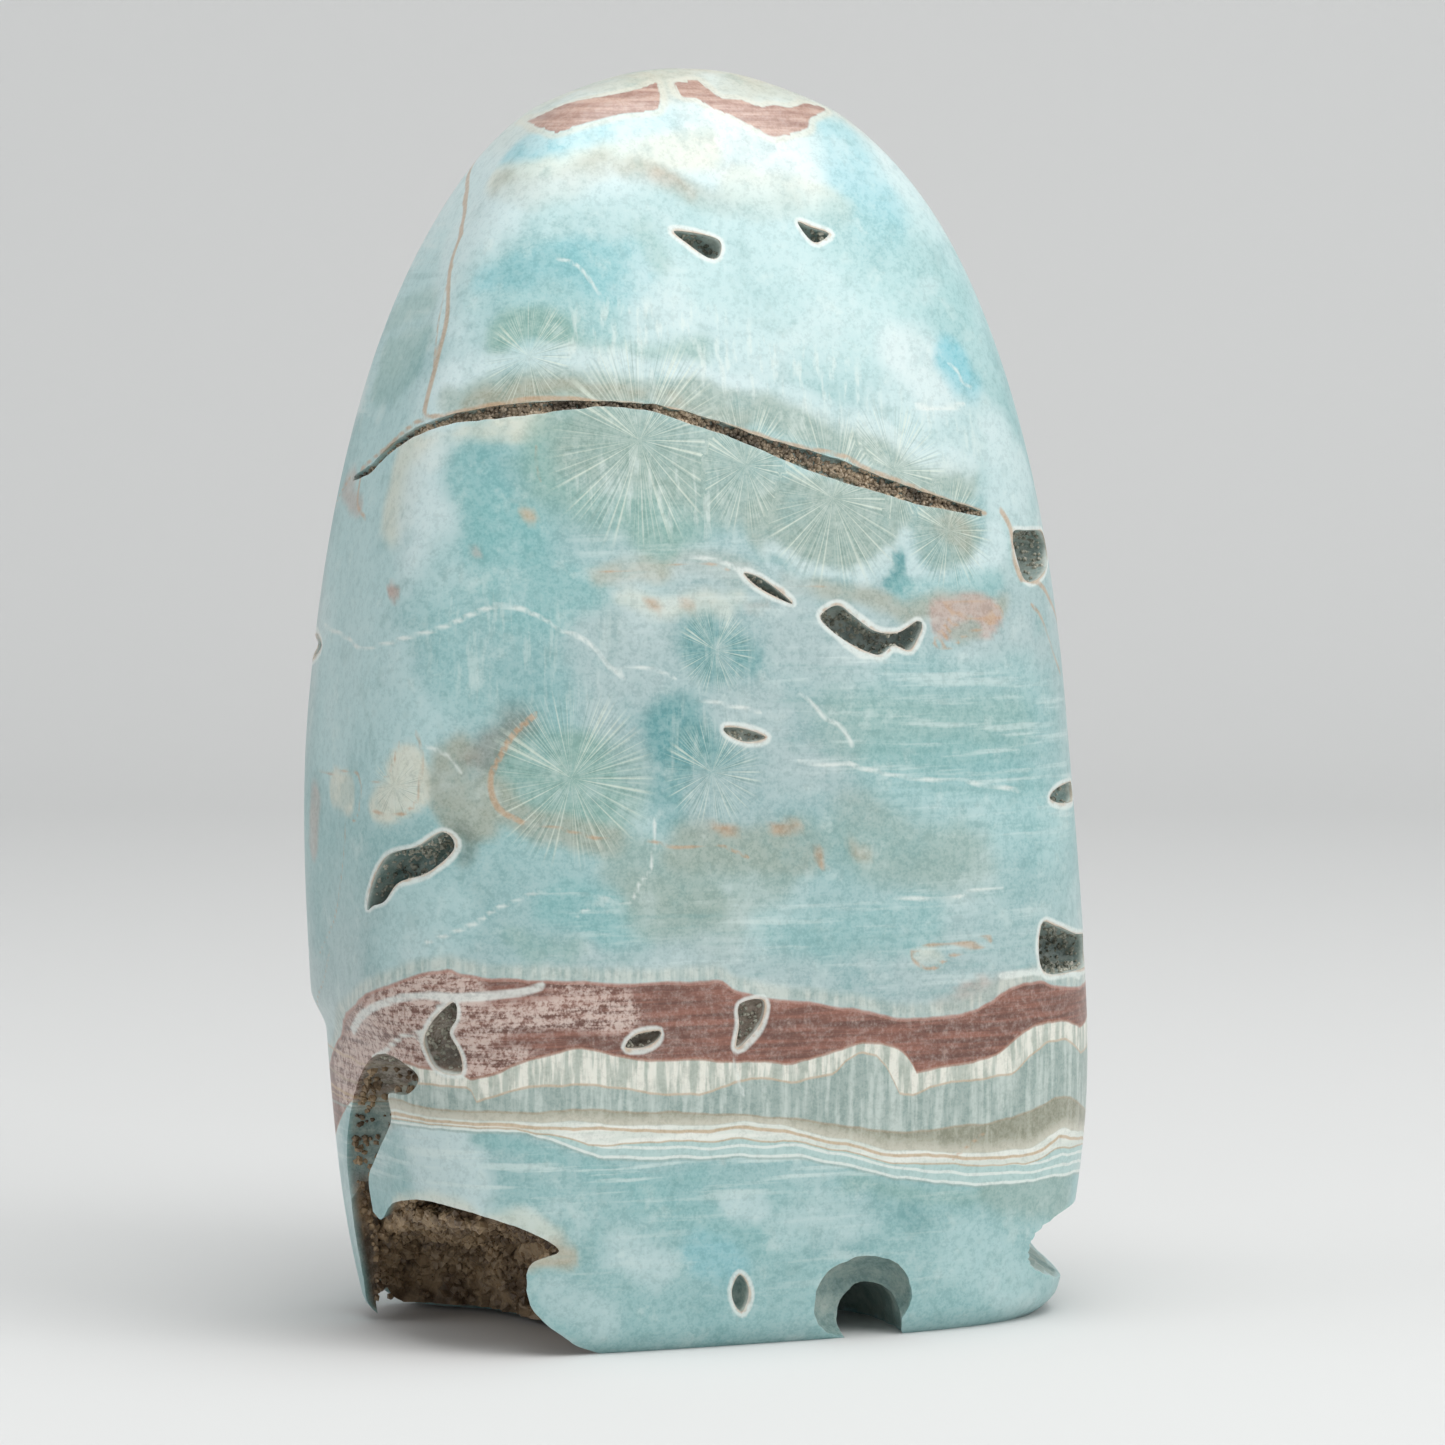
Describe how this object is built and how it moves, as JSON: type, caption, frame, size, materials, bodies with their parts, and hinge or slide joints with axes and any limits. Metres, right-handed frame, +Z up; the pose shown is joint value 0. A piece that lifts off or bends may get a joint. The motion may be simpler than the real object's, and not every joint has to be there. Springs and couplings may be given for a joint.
{
  "type": "blue calcite freeform",
  "caption": "Polished block of banded blue calcite with a domed top, a broad flat front, a broken corner over a crystal-lined hollow, and a flat sawn base.",
  "frame": {"origin": "middle of the bounding box of the sawn base, on the plane the stone rests on", "axes": "+Z up to the domed top, the broad polished front towards -Y, +X to the right as the front is seen"},
  "size_m": [0.0702, 0.042, 0.112],
  "materials": {
    "polished_calcite": "polished",
    "brown_druse": "rough crystal crust"
  },
  "bodies": {
    "root": {"calcite_body": "polished_calcite", "hollow_druse": "brown_druse"}
  },
  "joints": []
}
